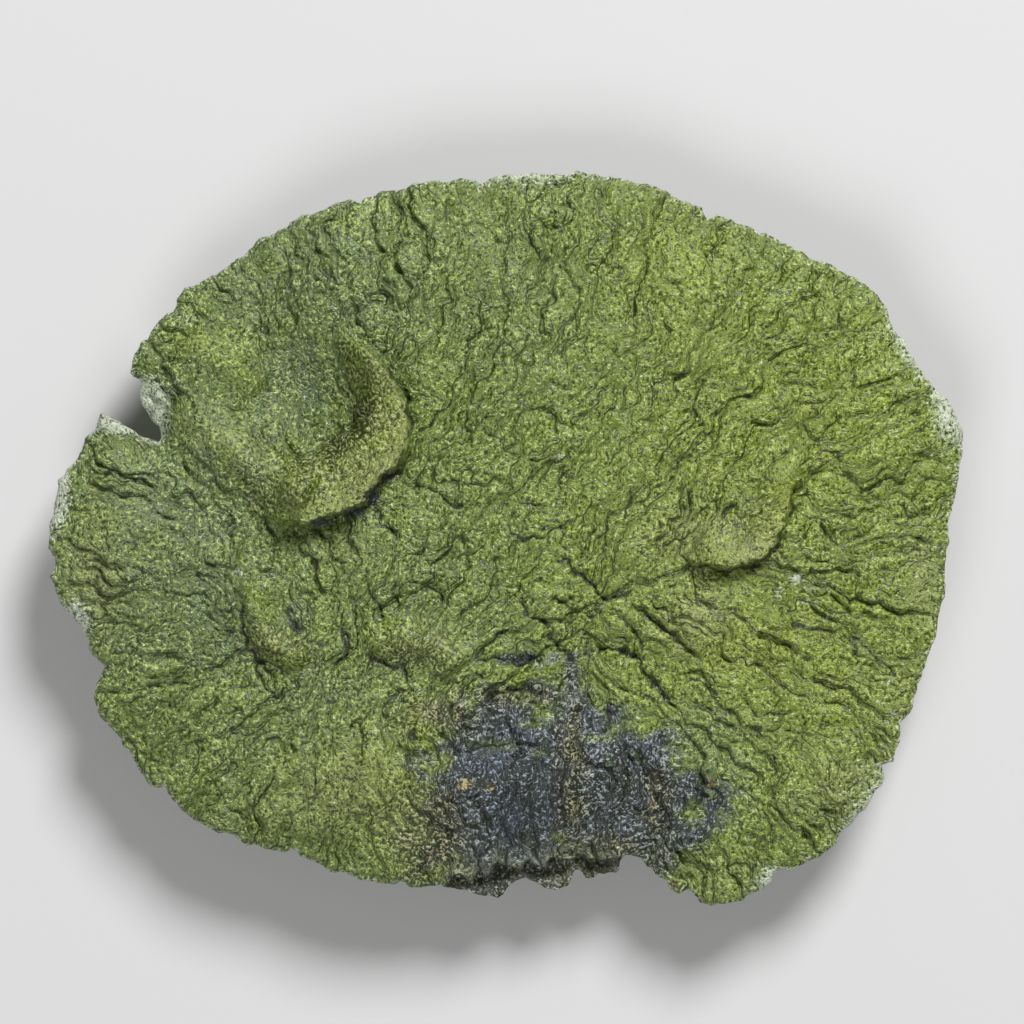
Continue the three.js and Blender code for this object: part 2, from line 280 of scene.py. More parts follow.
COOL = [
    ((-17, 2), (8, 11), 0.7),
    ((-10, 13), (8, 6), 0.6),
    ((-12, -11), (8, 6), 0.45),
    ((-4, -3), (6, 7), 0.35),
    ((-10.6, 7.6), (2.6, 3.0), 1.0),
    ((-12.5, 12), (4, 2.6), 0.7),
    ((-15.2, 0.6), (2.4, 2.4), 1.0),
    ((-14.5, -4.2), (2.6, 3.2), 0.9),
    ((-10.5, -3.8), (0.9, 0.9), 0.9),
    ((-9.5, -8.0), (3.0, 1.8), 0.7),
    ((-5.5, -7.8), (1.2, 1.4), 0.5),
    ((-19, -5.5), (2.2, 2.2), 0.6),
    ((4.6, -9.6), (2.2, 1.6), 0.6),
    ((10, -10.8), (2.4, 2.6), 0.6),
    ((0, 12), (6, 5), 0.35),
]
SLATE = [
    ((0.1, -12.6), (4.8, 5.6), 1.3),
    ((6.2, -13.2), (4.0, 4.2), 1.3),
    ((0.8, -6.0), (2.8, 0.7), 0.8),
    ((10, -13.4), (2.8, 2.2), 0.8),
    ((5.0, -8.8), (1.8, 1.4), 0.75),
    # the next four: painted shade under the fold's overhanging edge, in slate blue
    ((-9.0, 0.8), (0.9, 0.32), 1.0),
    ((-7.6, 1.25), (0.8, 0.32), 1.0),
    ((-6.65, 2.1), (0.35, 0.6), 1.0),
    ((-5.8, 3.1), (0.45, 0.4), 1.0),
    ((3.4, -11.5), (2.4, 5.5), 1.3),
    ((0.4, -8.6), (2.6, 1.0), 0.9),
    ((-3.6, -15.6), (1.4, 1.6), 0.8),
]
GREEN_SHEEN = [
    ((-0.6, -10.2), (1.0, 0.25), 0.7),
    ((1.3, -9.2), (0.7, 0.15), 0.9),
    ((4.5, -9.9), (0.8, 0.15), 0.9),
    ((1.7, -10.6), (0.5, 0.12), 0.7),
]
SPECKLED = [
    ((-3.2, -8.8), (2.0, 1.1), 1.0),
    ((-3.5, -14.6), (1.9, 2.8), 1.0),
    ((3.3, -11.8), (0.8, 5), 1.0),
    ((7.6, -13.6), (0.9, 2.8), 0.8),
    ((5.5, -15.2), (3, 0.8), 0.7),
    ((0.5, -7.8), (3, 0.6), 0.8),
    ((-11.2, -5.3), (1.8, 1.1), 0.6),
    ((-4.4, -5.6), (2.2, 1.1), 0.6),
    ((-9.8, 3.2), (4, 1.6), 0.4),
    ((6, -13), (3, 3), 0.25),
    ((-6.8, 6.2), (1.3, 3.2), 0.5),
]
RUST = [
    ((-2.0, -12.2), (0.55, 0.35), 1.0),
    ((-0.8, -12.4), (0.4, 0.15), 0.9),
    ((7.3, -13.3), (0.16, 0.55), 0.9),
    ((9.0, -11.6), (0.5, 0.2), 0.5),
    ((10.2, -12.2), (0.5, 0.3), 0.7),
    ((8.5, -17.3), (0.25, 0.25), 1.0),
    ((4.2, -16.7), (0.5, 0.4), 0.7),
]

# Colours of the glass
DEEP_GREEN = (0.24, 0.345, 0.043)
SUNNY_GREEN = (0.34, 0.44, 0.02)
COOL_GREEN = (0.18, 0.275, 0.13)
MOTTLE_GREEN = (0.13, 0.18, 0.035)
# painted glow on the lips' thin edges, and the pale patches
GLOW_AND_PALE_GREEN = (0.46, 0.5, 0.2)
SLATE_BLACK = (0.025, 0.033, 0.033)
SLATE_BLUE = (0.06, 0.075, 0.12)
FRINGE_GREY = (0.42, 0.46, 0.3)
# painted shade on the lips' inner walls
WALL_SHADE_GREEN = (0.05, 0.07, 0.015)
LEDGE_BROWN = (0.11, 0.095, 0.06)
# black of the speckles, also the painted shadow under the fringe
SPECKLE_AND_SHADOW_BLACK = (0.02, 0.022, 0.012)
RUST_BROWN = (0.34, 0.2, 0.07)

# Frosted or chipped places, and painted glints: centre, half-widths, strength
FROST_AND_GLINTS = [
    ((-17.4, 6.7), (0.9, 1.5), 1.0),
    ((-19.6, 5.6), (1.0, 0.5), 0.8),
    ((-15.6, 10.9), (1.0, 0.5), 0.6),
    ((21.9, 6), (1.0, 2.3), 0.8),
    ((20, 9.5), (1.3, 2.4), 0.45),
    ((17.6, -13), (1.6, 2.6), 0.45),
    ((12.9, -16.9), (0.9, 0.8), 0.6),
    ((-22.2, 2), (0.6, 1.7), 1.0),
    ((-21.4, -4), (0.7, 1.1), 1.0),
    ((1.5, 17.6), (3.5, 0.9), 0.4),
    ((14.5, -2.0), (0.5, 0.3), 1.1),
    ((15.1, -2.5), (0.4, 0.15), 1.0),
    ((8.3, -14.8), (1.3, 0.2), 0.7),
    ((13.6, -2.7), (0.4, 0.3), 0.9),
    ((15.0, -3.1), (0.5, 0.12), 1.0),
    ((19.2, -5.7), (0.3, 0.15), 0.8),
    ((19.0, -7.1), (0.35, 0.15), 1.0),
    ((18.6, -8.1), (0.3, 0.15), 1.0),
    ((19.3, -8.7), (0.3, 0.15), 0.8),
    ((14.7, 2.9), (0.5, 0.12), 0.9),
    ((-4.75, 5.4), (0.1, 0.25), 1.0),
    ((2.7, 4.1), (0.12, 0.3), 0.9),
    ((2.65, 2.4), (0.2, 0.12), 0.9),
    ((2.45, 1.7), (0.2, 0.1), 0.9),
    ((-3.7, -1.5), (0.2, 0.12), 0.9),
    ((-13.3, -1.7), (0.4, 0.2), 0.9),
]

# The way the wrinkles run, in degrees, at some places on the face
FLOW = [
    ((-16, 10), 140), ((-8, 14), 105), ((0, 14), 88), ((8, 13), 68), ((15, 10), 45),
    ((20, 6), 30), ((19, 0), 0), ((19, -5), -20), ((14, -12), -45), ((9, -15), -70),
    ((8, -6), -40), ((6, 2), 55), ((0, 4), 48), ((-3, 9), 70), ((-4, -2), 60),
    ((0, -6), 30), ((2, -12), 80), ((-5, -14), 110), ((-10, -13), 60), ((-15, -10), 35),
    ((-18, -6), 10), ((-19, 0), 160), ((-12, -1), 120), ((-10, 7), 110),
]

# Stirring numbers for the seeded noise, and the height that it is brought to
STIR_X = 374761393
STIR_Y = 668265263
STIR_SEED = 982451653
STIR_ALL = 1274126177
ALL_BITS = 0xFFFFFFFF
ANGLE_STEPS = 0x10000
NOISE_GAIN = 1.5

# How the crumples are made: steps along the flow that draw the noise out, and what their sum
# is divided by, then the bends (push, size and two seeds), and how steep a sharp crease is
FLOW_BLEND = 4
STREAK_STEPS = (-1.6, -0.8, 0, 0.8, 1.6)
STREAK_SUM = 2.6
CRUMPLE_BENDS = [(0.7, 2.3, 11, 12), (0.3, 0.8, 13, 14)]
SLOPE_STEP = 0.02
FLAT_SLOPE = 0.3
SHARPENING = 0.5
CREASE_CURVE = 0.8

# Crumples: their width, the step at each crease, how far the step reaches, and a seed
CRUMPLES = [(1.5, 0.2, 0.7, 21), (0.8, 0.17, 0.4, 22), (0.45, 0.12, 0.22, 23)]
CREASE_NAMES = ("furrow", "wrinkle", "crinkle")
STEP_WIDTH = 0.12
GROOVE_DEPTH = 0.6
GROOVE_WIDTH = 0.18

# The spans of distance and of noise that an attribute holds, and how much of the painted shade
# along the creases is left on the underside
LINE_SPAN = 1.0
STROKE_SPAN = 4.0
BACK_MARKS = 0.7

# How strong each size of crumple is at least, and how much more in its own patches
CRUMPLE_SHARES = [(0.45, 0.7), (0.45, 0.7), (0.55, 0.5)]

# Finer and gentler layers of noise: size and seed
PATCHES = (3.5, 25)
BREAKS = (2.1, 26)
WAVES = (1.7, 27)
WAVE_HEIGHT = 0.12
TINY = (0.3, 24)
TINY_HEIGHT = 0.05

# Where ridges and lips smooth the crumples out, and so does the bowl: its centre and reach
CALMING = 0.75
BOWL_CALM = 0.8
CALM_BOWL = ((-10.6, 7), 2.6)

# The parts of a ridge's or lip's length over which it starts and ends
RIDGE_END = 0.1
LIP_START = 0.12
LIP_END = 0.2

# Across a lip: the crest and the roll on its edge, the foot and the ditch outside the edge
CREST_FROM = 0.12
CREST_OVER = 0.25
CREST_LEAST = 0.1
ROLL_HEIGHT = 0.15
ROLL_WIDTH = 0.5
FOOT_HEIGHT = 1.15
FOOT_WIDTH = 0.35
DITCH_DEPTH = 0.25
DITCH_WIDTH = 0.7

# Where along a lip its edge gets painted glow, and where its inner wall gets painted shade
GLOW_FALL = 1.5
GLOW_MIDDLE = 0.53
GLOW_REACH = 0.27
WALL_RISE = 0.7
WALL_SHARE = 0.75
WALL_EDGE = 0.35
WALL_FROM = 0.18
WALL_START = 0.08
WALL_TO = 0.72
WALL_END = 0.12
WALL_GAIN = 1.3

# Cracks: how they bend (push, size and two seeds), how their width changes (size and seed, then
# the least and the extra share of it), the part of the length over which they start and end,
# and how far they and the painted shade line at their bottom reach
CRACK_BENDS = [(0.2, 0.6, 15, 16), (0.08, 0.25, 17, 18)]
CRACK_WIDTHS = (0.7, 19)
CRACK_THIN = 0.75
CRACK_WIDER = 0.5
CRACK_END = 0.15
CRACK_MOUTH = 1.2
CRACK_LINE = 4

# The underside: height, size and seed of each layer of roughness
BACK_ROUGH = [(0.3, 3.1, 31), (0.12, 1.1, 32), (0.04, 0.5, 33)]
BACK_WRINKLES = 0.8
BACK_CUT = 0.15
REST_FADE = 0.8

# The rim: how much of the crumples and the thickness there is right at it, how far in they
# are full, and the sideways jag of the surface
RIM_CRUMPLE = 0.2
RIM_FADE = 1.0
RIM_LEAST = 0.4
THIN_RIM = 0.5
JAG = 0.1
JAG_SIZE = 0.45
JAG_SEEDS = (41, 42)

# Noise in the colours: height, size and seed of each layer
RAGGED = [(0.35, 1.3, 51), (0.2, 0.5, 52)]
MOTTLE = [(0.3, 0.9, 53), (0.3, 2.2, 54)]
MOTTLE_DARK = 0.6
MOTTLE_EDGE = 0.35
MOTTLE_SHARE = 0.3

# How much the raggedness changes each kind of patch
SUNNY_RAGGED = 0.25
COOL_RAGGED = 1.5
SPECKLED_RAGGED = 2

# How strongly these colours are laid on
# painted light on the ridges and lip crests, which take the sunny green
RIDGE_PAINTED_LIGHT = 0.9
GLOW_SHARE = 0.8
SPECKLED_DARK = 0.7
SPECKLED_GREEN = 0.6
FRINGE_SHARE = 0.95
# painted shade on the lips' inner walls
WALL_SHADE = 0.85
LEDGE_SHARE = 0.85
# painted shadow under the fringe, and the dark rock
LEDGE_SHADOW_AND_DARK_ROCK = 0.8
LEDGE_SLATE = 0.8

# How ragged the borders of the slate-blue and rusty patches are, and how wide
SLATE_FROM = 0.45
SLATE_RAGGED = 0.9
SLATE_EDGE = 0.4
BLUE_FROM = 0.35
BLUE_EDGE = 0.3
RUST_FROM = 0.5
RUST_EDGE = 0.3

# The fringe and the ledge: widths, the reach of the painted shadow under the fringe, and the dark
# rock at its left
LEDGE_SIDE = 0.2
LEDGE_STEP = 0.18
FRINGE_WIDTH = 0.5
LEDGE_SHADE = 0.35
DARK_ROCK = -1.2
DARK_ROCK_REACH = 1.8

# Frost and painted glints along the rim: strength and width
RIM_FROST_AND_GLINTS = 0.75
RIM_FROST_AND_GLINTS_WIDTH = 0.35

# The glass: plain transmission, with a yellow-green that deepens with thickness
REFRACTION = 1.49
SHINE = 0.45
TRANSMISSION = 0.36
ROUGHEST = 0.46
SMOOTHEST = 0.28
ABSORBING_GREEN = (0.4, 0.6, 0.05)
ABSORBING_DENSITY = 150

# The grain: cell size in millimetres, and how far the creases draw it out
GRAIN_CELL = (0.2, 0.2, 0.16)
GRAIN_DRAW = 7.5
GRAIN_DETAIL = 1.5
GRAIN_ROUGHNESS = 0.7

# How strong the grain is: everywhere, and more in polished and in speckled places
PLAIN_GRAIN = 0.6
POLISHED_GRAIN = 0.8
SPECKLED_GRAIN = 1.3

# Where each part of the pattern starts and is full, in the grain's own values
LIGHT_GRAIN = (0.02, 0.15)
DARK_GRAIN = (-0.015, -0.12)
# painted shade lines along the grain's fine folds
FOLD_LINE = (0.03, 0.01)
CRACK_EDGE = (0.72, 0.88)
# frost, and painted glints
FROST_AND_GLINT_EDGE = (0.5, 1.15)
FROST_AND_GLINT_STIR = 2.4
GLINT_EDGE = (0.2, 0.24)

# The painted shade lines along the creases: half-width for each size of crease, the part that
# is fully dark, and their wobble
LINE_WIDTHS = (0.07, 0.055, 0.045)
LINE_CORE = 0.3
LINE_WOBBLE = 0.2
CRINKLE_DARK = 0.7
FOLD_DARK = 0.4

# How much of the colour underneath each part of the pattern covers
LIGHT_SHARE = 0.8
DARK_SHARE = 0.88
# painted shade along the creases and at the bottom of the cracks
CREASE_SHADE_SHARE = 0.9
CRACK_SHADE_SHARE = 0.85

# Colours of the pattern
LIGHT_GREEN = (0.6, 0.68, 0.22)
LIGHT_SLATE = (0.46, 0.53, 0.63)
LIGHT_GOLD = (0.62, 0.58, 0.3)
GRAIN_BLACK = (0.02, 0.03, 0.006)
# painted shade along the creases and at the bottom of the cracks
CREASE_SHADE_BLACK = (0.015, 0.022, 0.006)
CRACK_SHADE_BLACK = (0.012, 0.016, 0.01)
# frost, and painted glints
FROST_AND_GLINT_WHITE = (0.72, 0.78, 0.62)
GLINT_WHITE = (0.8, 0.85, 0.72)

# The fine bump that the grain makes
BUMP_STRENGTH = 0.9
BUMP_HEIGHT = 0.12
FOLD_BUMP = 2

# The camera, and the view in millimetres: its width, and its middle from the stone's middle
LENS = 200
SENSOR = 36
NEAREST = 0.01
VIEW_WIDTH = 51.2
VIEW_SHIFT = (0.3, 1.325)

# The floor: its size in metres, and how far under the stone it is in millimetres
FLOOR_SIZE = 2
FLOOR_DEPTH = 0.03
FLOOR_GREY = (0.5, 0.5, 0.5)
FLOOR_ROUGHNESS = 0.9

# The lights: name, place and size in metres, power
LAMPS = [
    ("key light", (0.16, 0.36, 0.37), 0.2, 4.2),
    ("fill light", (-0.12, -0.3, 0.4), 0.3, 1.25),
]
SKY_STRENGTH = 0.19


def smooth(value):
    """0 below 0 and 1 above 1, with a soft step between."""
    t = np.clip(value, 0, 1)
    return t * t * (3 - 2 * t)


def hump(dx, dy=0):
    """1 in the middle, falling to 0 at about twice the half-width."""
    return np.exp(-(dx * dx + dy * dy))


def corner_angle(ix, iy, seed):
    """The same pseudo-random angle for a grid corner each time."""
    key = (ix * STIR_X + iy * STIR_Y + seed * STIR_SEED) & ALL_BITS
    key = ((key ^ (key >> 13)) * STIR_ALL) & ALL_BITS
    return ((key >> 8) & (ANGLE_STEPS - 1)) * (2 * math.pi / ANGLE_STEPS)


def noise(x, y, seed):
    """Smooth noise from about -1 to 1, with bumps about one unit wide."""
    ix = np.floor(x).astype(np.int64)
    iy = np.floor(y).astype(np.int64)
    fx = x - ix
    fy = y - iy
    across = smooth(fx)
    up = smooth(fy)
    total = np.zeros_like(fx)
    for cx in (0, 1):
        for cy in (0, 1):
            angle = corner_angle(ix + cx, iy + cy, seed)
            weight = (across if cx else 1 - across) * (up if cy else 1 - up)
            total += weight * ((fx - cx) * np.cos(angle) + (fy - cy) * np.sin(angle))
    return total * NOISE_GAIN


def lumps(x, y, size, seed):
    """Noise with bumps of that size."""
    return noise(x / size, y / size, seed)


def layered(x, y, layers):
    """Sum of several layers of noise."""
    return sum(height * lumps(x, y, size, seed) for height, size, seed in layers)


def bent(x, y, bends):
    """The points pushed about, so that what is drawn there wanders."""
    bent_x = x
    bent_y = y
    for push, size, seed_x, seed_y in bends:
        bent_x = bent_x + push * lumps(x, y, size, seed_x)
        bent_y = bent_y + push * lumps(x, y, size, seed_y)
    return bent_x, bent_y


def along_path(x, y, path):
    """Distance to a path, the side (1 on the right of the way), and 0 to 1 along it."""
    distance = np.full(x.shape, np.inf)
    side = np.ones(x.shape)
    place = np.zeros(x.shape)
    lengths = [math.dist(a, b) for a, b in zip(path, path[1:])]
    walked = 0
    for (ax, ay), (bx, by), length in zip(path, path[1:], lengths):
        along_x = (bx - ax) / length
        along_y = (by - ay) / length
        reach = np.clip((x - ax) * along_x + (y - ay) * along_y, 0, length)
        here = np.hypot(x - ax - along_x * reach, y - ay - along_y * reach)
        nearer = here < distance
        distance[nearer] = here[nearer]
        cross = along_y * (x - ax) - along_x * (y - ay)
        side[nearer] = np.where(cross[nearer] < 0, -1, 1)
        place[nearer] = (walked + reach[nearer]) / sum(lengths)
        walked += length
    return distance, side, place


def between_ends(place, start, end):
    """1 along a path, fading to 0 over these shares of its length at its two ends."""
    return smooth(place / start) * smooth((1 - place) / end)


def spots(x, y, places):
    """Soft patches: the strongest of them at each point."""
    total = np.zeros_like(x)
    for (sx, sy), (wide, deep), strength in places:
        total = np.maximum(total, strength * hump((x - sx) / wide, (y - sy) / deep))
    return total


def swell_height(x, y, swells):
    """Height of the rounded swells and hollows together."""
    total = np.zeros_like(x)
    for (sx, sy), (wide, deep), height in swells:
        total += height * hump((x - sx) / wide, (y - sy) / deep)
    return total


def rim_height(x, y):
    """Height of the middle of the rim, which waves gently up and down."""
    turn = 2 * math.pi / RIM_WAVE_LENGTH
    return RIM_HEIGHT + RIM_WAVE * np.sin(x * turn) * np.cos(y * turn)


def flow_at(x, y):
    """Unit direction of the wrinkles at each point."""
    twice_x = np.zeros_like(x)
    twice_y = np.zeros_like(x)
    for (fx, fy), degrees in FLOW:
        weight = 1 / ((x - fx) ** 2 + (y - fy) ** 2 + FLOW_BLEND) ** 2
        twice_x += weight * math.cos(math.radians(2 * degrees))
        twice_y += weight * math.sin(math.radians(2 * degrees))
    angle = np.arctan2(twice_y, twice_x) / 2
    return np.cos(angle), np.sin(angle)


def streaks(x, y, flow, width, seed):
    """Noise with streaks of that width, drawn out along the flow."""
    total = np.zeros_like(x)
    for step in STREAK_STEPS:
        sx = (x + flow[0] * step * width) / width
        sy = (y + flow[1] * step * width) / width
        total += noise(sx, sy, seed)
    return total / STREAK_SUM


def crumple_fields(x, y):
    """Streaky noise for each size of crumple, bent about so that it doesn't look combed."""
    flow = flow_at(x, y)
    bent_x, bent_y = bent(x, y, CRUMPLE_BENDS)
    return [streaks(bent_x, bent_y, flow, width, seed) for width, _, _, seed in CRUMPLES]


def crumple_creases(x, y):
    """For each size of crumple: signed distance to its creases, their sharpness, the noise."""
    here = crumple_fields(x, y)
    across = crumple_fields(x + SLOPE_STEP, y)
    up = crumple_fields(x, y + SLOPE_STEP)
    creases = []
    for (width, _, _, _), value, value_x, value_y in zip(CRUMPLES, here, across, up):
        slope = np.hypot(value_x - value, value_y - value) / SLOPE_STEP
        sharp = smooth((slope * width - FLAT_SLOPE) / SHARPENING)
        creases.append((value / np.maximum(slope, FLAT_SLOPE / width), sharp, value))
    return creases


def crease(value):
    """A sharp valley where the noise passes through 0, with round backs between."""
    return np.abs(value) ** CREASE_CURVE


def make_blank():
    """A flat blank cut to the outline and meshed evenly, in millimetres."""
    bpy.ops.object.select_all(action="DESELECT")
    bpy.ops.mesh.primitive_circle_add(vertices=len(OUTLINE), radius=1, fill_type="NGON")
    blank = bpy.context.object
    for corner, (x, y) in zip(blank.data.vertices, OUTLINE):
        corner.co = (x, y, 0)
    bpy.ops.object.mode_set(mode="EDIT")
    bpy.ops.mesh.select_all(action="SELECT")
    move = {"value": (0, 0, BLANK_THICKNESS)}
    bpy.ops.mesh.extrude_region_move(TRANSFORM_OT_translate=move)
    bpy.ops.mesh.select_all(action="SELECT")
    bpy.ops.mesh.normals_make_consistent(inside=False)
    bpy.ops.object.mode_set(mode="OBJECT")
    even = blank.modifiers.new("even mesh", "REMESH")
    even.mode = "VOXEL"
    even.voxel_size = FINEST
    bpy.ops.object.modifier_apply(modifier=even.name)
    return blank


def add_ridges(x, y, relief):
    """Raises the round-backed ridges, and returns where they are."""
    ridge = np.zeros_like(x)
    for path, width, height in RIDGES:
        distance, _, place = along_path(x, y, path)
        here = hump(distance / width) * between_ends(place, RIDGE_END, RIDGE_END)
        relief += height * here
        ridge = np.maximum(ridge, here)
    return ridge


def add_lips(x, y, relief, ridge):
    """Raises the lips, and returns the smooth places, the painted glow on their edges and the
    painted shade on their inner walls.
    """
    painted_edge_glow = np.zeros_like(x)
    wall_shade = np.zeros_like(x)
    for path, crest, slope, height, pale in LIPS:
        distance, side, place = along_path(x, y, path)
        along = between_ends(place, LIP_START, LIP_END)
        inner = along * (side > 0)
        outer = along * (side < 0)
        grown = smooth((place - CREST_FROM) / CREST_OVER)
        wide = crest * (CREST_LEAST + (1 - CREST_LEAST) * grown)
        raised = (1 - smooth((distance - wide) / slope)) * inner
        relief += height * raised * (1 + ROLL_HEIGHT * np.exp(-distance / ROLL_WIDTH))
        foot = FOOT_HEIGHT * height * (1 - smooth(distance / FOOT_WIDTH))
        relief += outer * (foot - DITCH_DEPTH * hump(distance / DITCH_WIDTH))
        ridge = np.maximum(ridge, raised)
        # Painted glow: the thin edge of a lip is coloured paler, as if lit through
        glow = inner * np.exp(-(distance / pale) ** GLOW_FALL)
        painted_edge_glow = np.maximum(painted_edge_glow, glow * hump((place - GLOW_MIDDLE) / GLOW_REACH))
        # Painted shade on the inner wall below the crest
        steep = height / slope * smooth((distance - wide) / WALL_RISE)
        steep *= 1 - smooth((distance - wide - WALL_SHARE * slope) / WALL_EDGE)
        steep *= smooth((place - WALL_FROM) / WALL_START) * smooth((WALL_TO - place) / WALL_END)
        wall_shade = np.maximum(wall_shade, WALL_GAIN * steep * (side > 0))
    return ridge, painted_edge_glow, wall_shade


def crumple_relief(x, y, creases, ridge):
    """Height of the crumples, and how strongly each size of crease shows."""
    patches = smooth(0.5 + lumps(x, y, *PATCHES))
    breaks = smooth(0.5 + lumps(x, y, *BREAKS))
    fields = (patches, breaks, patches)
    shares = [least + more * field for (least, more), field in zip(CRUMPLE_SHARES, fields)]
    (bowl_x, bowl_y), bowl_reach = CALM_BOWL
    bowl = hump((x - bowl_x) / bowl_reach, (y - bowl_y) / bowl_reach)
    calm = 1 - CALMING * np.maximum(ridge, BOWL_CALM * bowl)
    tiny = crease(lumps(x, y, *TINY))
    wrinkles = WAVE_HEIGHT * lumps(x, y, *WAVES) + TINY_HEIGHT * tiny - TINY_HEIGHT
    marks = []
    for (_, height, reach, _), (distance, sharp, _), share in zip(CRUMPLES, creases, shares):
        mark = sharp * share * calm
        beside = np.exp(-np.abs(distance) / reach) * np.clip(distance / STEP_WIDTH, -1, 1)
        wrinkles += mark * height * (beside - GROOVE_DEPTH * hump(distance / GROOVE_WIDTH))
        marks.append(mark)
    return wrinkles, marks


def crack_relief(x, y):
    """Depth of the cracks, and the painted shade line at the bottom of each."""
    crack_x, crack_y = bent(x, y, CRACK_BENDS)
    ragged = smooth(0.5 + lumps(x, y, *CRACK_WIDTHS))
    depths = np.zeros_like(x)
    lines = np.zeros_like(x)
    for path, width, depth in CRACKS:
        distance, _, place = along_path(crack_x, crack_y, path)
        ends = between_ends(place, CRACK_END, CRACK_END)
        here = width * (CRACK_THIN + CRACK_WIDER * ragged)
        depths = np.maximum(depths, depth * hump(distance / (CRACK_MOUTH * here)) * ends)
        lines = np.maximum(lines, ends * (1 - distance / (CRACK_LINE * here)))
    return depths, lines


def fringe_and_ledge(x, y):
    """How far the fringe's edge is above each point, the stretch it spans, and the ledge."""
    above = np.interp(x, [p[0] for p in FRINGE], [p[1] for p in FRINGE]) - y
    span = smooth((x - LEDGE_LEFT) / LEDGE_SIDE) * smooth((LEDGE_RIGHT - x) / LEDGE_SIDE)
    return above, span, smooth(above / LEDGE_STEP) * span


def carved_height(x, y, level, edge, relief, wrinkles, cracks, ledge):
    """Height of every point of the stone, from its back at level 0 to its face at level 1."""
    middle = rim_height(x, y)
    bevel = np.sqrt(1 - (1 - np.clip(edge / RIM_ROUND, 0, 1)) ** 2)
    half_rim = RIM_WALL / 2 + (RIM_THICKNESS - RIM_WALL) / 2 * bevel
    inside_face = 1 - np.exp(-edge / CROWN_ROUND)
    inside_back = 1 - np.exp(-edge / BELLY_ROUND)
    back = middle - half_rim - (BELLY + swell_height(x, y, BACK_SWELLS)) * inside_back
    rough = sum(height * crease(lumps(x, y, size, seed)) for height, size, seed in BACK_ROUGH)
    rough -= BACK_WRINKLES * wrinkles + BACK_CUT
    back = np.maximum(0, back + rough * inside_back * smooth(back / REST_FADE))
    face = middle + half_rim + (CROWN + relief) * inside_face - LEDGE_DEPTH * ledge
    face += (wrinkles - cracks) * smooth(RIM_CRUMPLE + edge / RIM_FADE)
    face = np.maximum(face, back + LEAST_THICKNESS * smooth(RIM_LEAST + edge / THIN_RIM))
    return back + (face - back) * level


def add_attribute(mesh, name, values):
    """Keeps a number from 0 to 1 for each point of the mesh, for the material to read."""
    attribute = mesh.attributes.new(name, "FLOAT", "POINT")
    attribute.data.foreach_set("value", np.clip(values, 0, 1))


def lay(under, over, amount):
    """Colour `over` laid on the colours `under`, as strongly as amount says."""
    return under + (np.asarray(over) - under) * np.clip(amount, 0, 1)[:, None]


